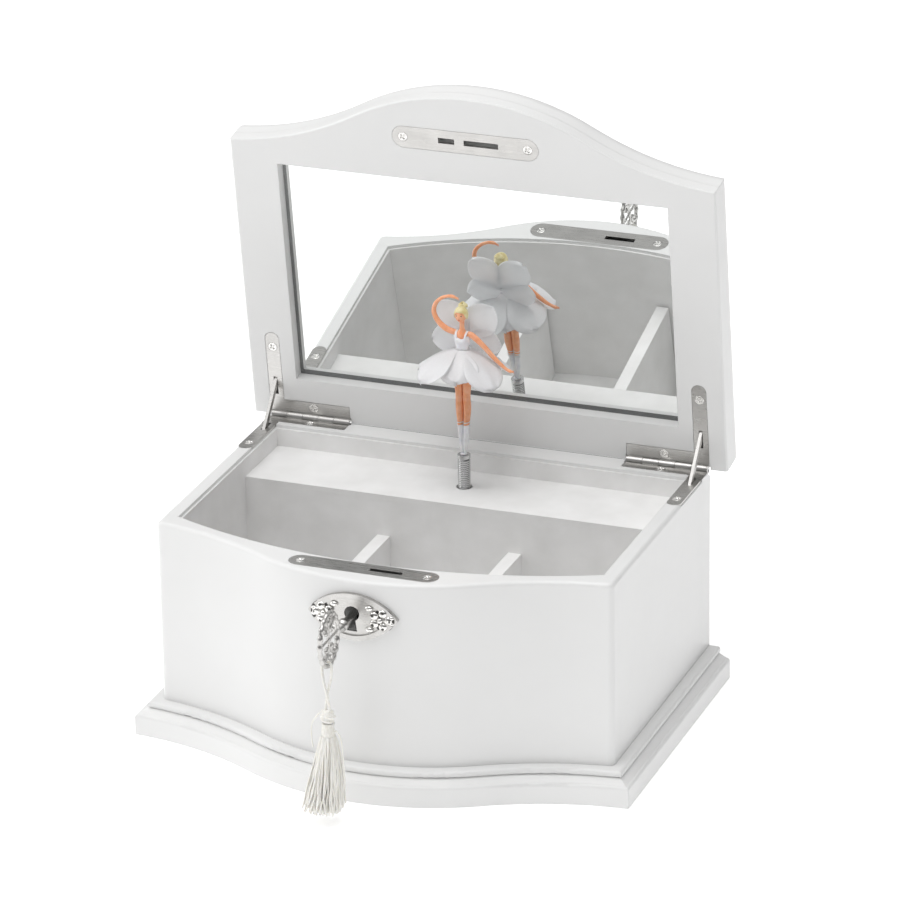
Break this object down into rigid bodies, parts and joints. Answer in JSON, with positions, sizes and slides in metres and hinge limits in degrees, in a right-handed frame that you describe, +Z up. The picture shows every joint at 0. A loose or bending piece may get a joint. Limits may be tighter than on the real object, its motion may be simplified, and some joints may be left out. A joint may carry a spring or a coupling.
{
  "type": "ballerina jewellery box",
  "caption": "White bow-fronted jewellery box with a hinged mirror lid, lined tray, lock with key and tassel, and a dancer on a spring turned by a music movement.",
  "frame": {"origin": "on the floor, under the middle of the straight-sided part of the box, in the plane of the plinth's underside", "axes": "+X to the right of the bowed front, -Y out of the front towards the user, +Z up"},
  "size_m": [0.2294, 0.2236, 0.2708],
  "materials": {
    "white_lacquer": "satin white lacquer over wood",
    "lining": "short pale grey velvet",
    "nickel": "polished nickel plate",
    "steel": "bright drawn steel",
    "movement_brass": "plain brass",
    "cast_bed": "cast grey metal",
    "looking_glass": "silvered mirror",
    "backing_board": "grey pulp board",
    "ivory_cord": "twisted viscose",
    "ivory_fringe": "loose viscose threads",
    "doll_plastic": "moulded plastic, painted",
    "doll_bodice": "painted pearl white",
    "doll_hair": "painted blonde",
    "tulle": "sheer nylon net",
    "wing_film": "clear iridescent film"
  },
  "bodies": {
    "case": {"front_panel": "white_lacquer", "side_panel_left": "white_lacquer", "side_panel_right": "white_lacquer", "back_panel": "white_lacquer", "bottom_panel": "white_lacquer", "plinth": "white_lacquer", "liner_front": "lining", "liner_back": "lining", "liner_left": "lining", "liner_right": "lining", "liner_floor": "lining", "platform_top": "lining", "platform_riser": "lining", "divider_left": "lining", "divider_right": "lining", "hinge_case_leaf_left": "nickel", "hinge_case_leaf_right": "nickel", "hinge_pins": "steel", "case_screws": "nickel", "lock_plate": "nickel", "lock_case": "steel", "escutcheon": "nickel", "movement_bedplate": "cast_bed", "barrel_bridge": "steel", "comb": "steel", "movement_screws": "steel"},
    "lid": {"lid_frame": "white_lacquer", "lid_top": "white_lacquer", "mirror": "looking_glass", "mirror_backing": "backing_board", "strike_plate": "nickel", "hinge_lid_leaf_left": "nickel", "hinge_lid_leaf_right": "nickel", "lid_screws": "nickel"},
    "stay_arm_left": {"stay_left": "nickel"},
    "stay_arm_right": {"stay_right": "nickel"},
    "claw": {"lock_hook": "steel"},
    "lock_key": {"key": "nickel"},
    "tassel": {"tassel_cord": "ivory_cord", "tassel_head": "ivory_cord", "tassel_skirt": "ivory_fringe"},
    "barrel": {"spring_barrel": "movement_brass", "mainspring": "steel", "drive_spindle": "steel"},
    "winder": {"winding_key": "steel"},
    "cylinder": {"cylinder_arbor": "steel", "cylinder_pinion": "movement_brass", "cylinder_wheel": "movement_brass", "music_cylinder": "movement_brass"},
    "governor": {"governor": "steel"},
    "dancer_spring": {"coil_spring": "steel"},
    "dancer": {"spring_plug": "steel", "dancer_legs": "doll_plastic", "dancer_bodice": "doll_bodice", "dancer_arms_and_head": "doll_plastic", "dancer_hair": "doll_hair", "tutu": "tulle", "wings": "wing_film"}
  },
  "joints": [
    {"name": "lid_hinge", "type": "hinge", "parent": "case", "child": "lid", "pos_m": [0, 0.0655, 0.0997], "axis": [1, 0, 0], "range_deg": [0, 82]},
    {"name": "stay_left_hinge", "type": "hinge", "parent": "case", "child": "stay_arm_left", "pos_m": [-0.1013, 0.0655, 0.0997], "axis": [1, 0, 0], "range_deg": [0, 41.1]},
    {"name": "stay_right_hinge", "type": "hinge", "parent": "case", "child": "stay_arm_right", "pos_m": [0.1013, 0.0655, 0.0997], "axis": [1, 0, 0], "range_deg": [0, 41.1]},
    {"name": "dancer_fold", "type": "hinge", "parent": "case", "child": "dancer_spring", "pos_m": [0, 0.0355, 0.099], "axis": [1, 0, 0], "range_deg": [0, 106.8], "deforming": ["coil_spring", "tutu", "wings"]},
    {"name": "dancer_spin", "type": "hinge", "parent": "dancer_spring", "child": "dancer", "pos_m": [0, 0.0355, 0.1], "axis": [0, 0, 1], "continuous": true},
    {"name": "key_turn", "type": "hinge", "parent": "case", "child": "lock_key", "pos_m": [-0.001, -0.11, 0.084], "axis": [0, -1, 0], "range_deg": [0, 90]},
    {"name": "claw_swing", "type": "hinge", "parent": "case", "child": "claw", "pos_m": [0.0023, -0.084, 0.0915], "axis": [0, -1, 0], "range_deg": [0, 90.2]},
    {"name": "tassel_hang", "type": "hinge", "parent": "lock_key", "child": "tassel", "pos_m": [-0.001, -0.128, 0.073], "axis": [0, -1, 0], "range_deg": [-90.2, 0.2]},
    {"name": "barrel_spin", "type": "hinge", "parent": "case", "child": "barrel", "pos_m": [0, 0.0355, 0.03], "axis": [0, 0, 1], "continuous": true},
    {"name": "cylinder_spin", "type": "hinge", "parent": "case", "child": "cylinder", "pos_m": [0.03, 0.0355, 0.04249], "axis": [1, 0, 0], "continuous": true},
    {"name": "governor_spin", "type": "hinge", "parent": "case", "child": "governor", "pos_m": [0.045, 0.04328, 0.05176], "axis": [1, 0, 0], "continuous": true},
    {"name": "winder_turn", "type": "hinge", "parent": "case", "child": "winder", "pos_m": [0, 0.0355, 0.012], "axis": [0, 0, 1], "continuous": true}
  ],
  "couplings": [
    {"joint": "stay_left_hinge", "follows": "lid_hinge", "ratio": 0.5},
    {"joint": "stay_right_hinge", "follows": "lid_hinge", "ratio": 0.5},
    {"joint": "dancer_fold", "follows": "lid_hinge", "ratio": 1.3},
    {"joint": "claw_swing", "follows": "key_turn", "ratio": 1},
    {"joint": "tassel_hang", "follows": "key_turn", "ratio": -1},
    {"joint": "cylinder_spin", "follows": "barrel_spin", "ratio": 4},
    {"joint": "governor_spin", "follows": "barrel_spin", "ratio": -20},
    {"joint": "dancer_spin", "follows": "barrel_spin", "ratio": 1}
  ]
}
